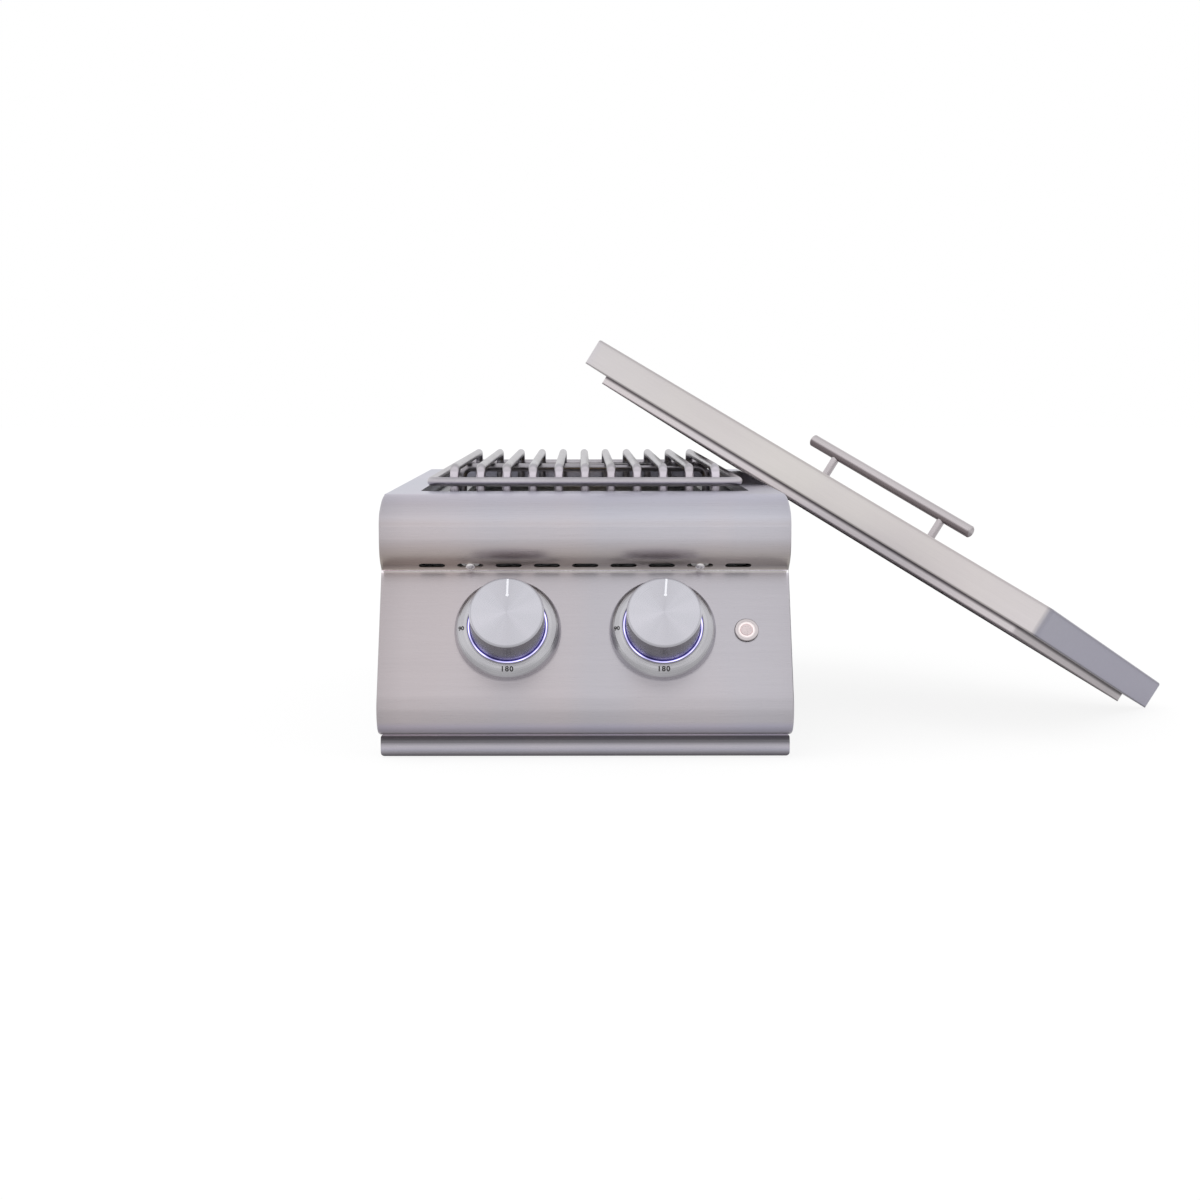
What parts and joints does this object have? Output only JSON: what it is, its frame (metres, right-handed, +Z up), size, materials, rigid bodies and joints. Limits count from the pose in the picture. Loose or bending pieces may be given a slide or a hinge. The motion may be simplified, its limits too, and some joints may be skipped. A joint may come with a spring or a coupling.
{
  "type": "built in side burner",
  "caption": "Drop-in gas side burner with a rolled steel front, lit knobs and push button, a lift-out rod grate over round burners, a slide-out drip tray and a loose cover leaning on one side.",
  "frame": {"origin": "centre of the casing's bottom face", "axes": "-Y towards the front with the knobs, +X to the right seen from the front, +Z up"},
  "size_m": [0.7257, 0.7166, 0.3547],
  "materials": {
    "sheet_steel": "brushed stainless sheet",
    "grate_steel": "satin stainless rod",
    "polished_steel": "bright turned steel",
    "knob_metal": "spun satin metal",
    "bezel_metal": "satin metal",
    "galvanised": "plain folded steel",
    "ring_light": "lit white diffuser",
    "button_light": "lit white diffuser",
    "white_line": "white enamel",
    "cast_alloy": "die cast",
    "brass": "turned brass",
    "burner_steel": "heat-toned steel",
    "ceramic": "glazed insulator",
    "black_plastic": "moulded",
    "wire_sleeve": "silicone sleeve"
  },
  "bodies": {
    "body": {"top_frame": "sheet_steel", "front_bullnose": "sheet_steel", "control_panel": "sheet_steel", "end_cap_left": "sheet_steel", "end_cap_right": "sheet_steel", "casing_left": "galvanised", "casing_right": "galvanised", "casing_front": "galvanised", "casing_rear": "galvanised", "casing_floor": "galvanised", "heat_shield": "galvanised", "grate_ledge": "galvanised", "fascia_screws": "polished_steel", "fascia_washers": "polished_steel", "screws": "polished_steel", "manifold_pipe": "burner_steel", "supply_tube": "burner_steel", "gas_inlet": "polished_steel", "orifices": "brass", "front_burner_pot": "cast_alloy", "front_burner_head": "brass", "front_burner_tube": "burner_steel", "rear_burner_pot": "cast_alloy", "rear_burner_head": "brass", "rear_burner_tube": "burner_steel", "air_shutters": "burner_steel", "burner_brackets": "burner_steel", "igniter_electrodes": "ceramic", "igniter_module": "black_plastic", "bezel_left": "bezel_metal", "bezel_right": "bezel_metal", "light_ring_left": "ring_light", "light_ring_right": "ring_light", "valve_body_left": "cast_alloy", "valve_body_right": "cast_alloy", "button_housing": "polished_steel", "button_light": "button_light", "button_nut": "polished_steel", "power_jack": "black_plastic", "wiring": "wire_sleeve", "tray_runners": "galvanised"},
    "valve_core_left": {"valve_core_left": "brass"},
    "valve_core_right": {"valve_core_right": "brass"},
    "knob_left": {"knob_left": "knob_metal", "knob_pointer_left": "white_line", "valve_stem_left": "polished_steel"},
    "knob_right": {"knob_right": "knob_metal", "knob_pointer_right": "white_line", "valve_stem_right": "polished_steel"},
    "push_button": {"button_cap": "polished_steel"},
    "drip_tray": {"drip_tray": "sheet_steel", "drip_tray_front": "sheet_steel"},
    "grate": {"grate_bars": "grate_steel", "grate_ring": "grate_steel", "grate_cross_rod": "grate_steel"},
    "cover": {"cover_shell": "sheet_steel", "cover_rim": "sheet_steel", "cover_handle_bar": "grate_steel", "cover_handle_posts": "grate_steel", "cover_screws": "polished_steel"}
  },
  "joints": [
    {"name": "knob_left_turn", "type": "hinge", "parent": "body", "child": "valve_core_left", "pos_m": [-0.0645, -0.3507, 0.10596], "axis": [0, -0.8788, 0.4772], "range_deg": [0, 180]},
    {"name": "knob_left_push", "type": "slide", "parent": "valve_core_left", "child": "knob_left", "axis": [0, 0.8788, -0.4772], "range_m": [0, 0.004], "stiffness_N_per_m": 900, "springref_m": -0.003},
    {"name": "knob_right_turn", "type": "hinge", "parent": "body", "child": "valve_core_right", "pos_m": [0.0645, -0.3507, 0.10596], "axis": [0, -0.8788, 0.4772], "range_deg": [0, 180]},
    {"name": "knob_right_push", "type": "slide", "parent": "valve_core_right", "child": "knob_right", "axis": [0, 0.8788, -0.4772], "range_m": [0, 0.004], "stiffness_N_per_m": 900, "springref_m": -0.003},
    {"name": "button_press", "type": "slide", "parent": "body", "child": "push_button", "axis": [0, 0.8788, -0.4772], "range_m": [0, 0.0015], "stiffness_N_per_m": 600, "springref_m": -0.002},
    {"name": "drip_tray_slide", "type": "slide", "parent": "body", "child": "drip_tray", "axis": [0, -1, 0], "range_m": [0, 0.3]},
    {"name": "grate_lift", "type": "slide", "parent": "body", "child": "grate", "axis": [-0.8517, 0, 0.524], "range_m": [0, 0.25]},
    {"name": "cover_lift", "type": "slide", "parent": "body", "child": "cover", "axis": [0.524, 0, 0.8517], "range_m": [0, 0.3]}
  ]
}
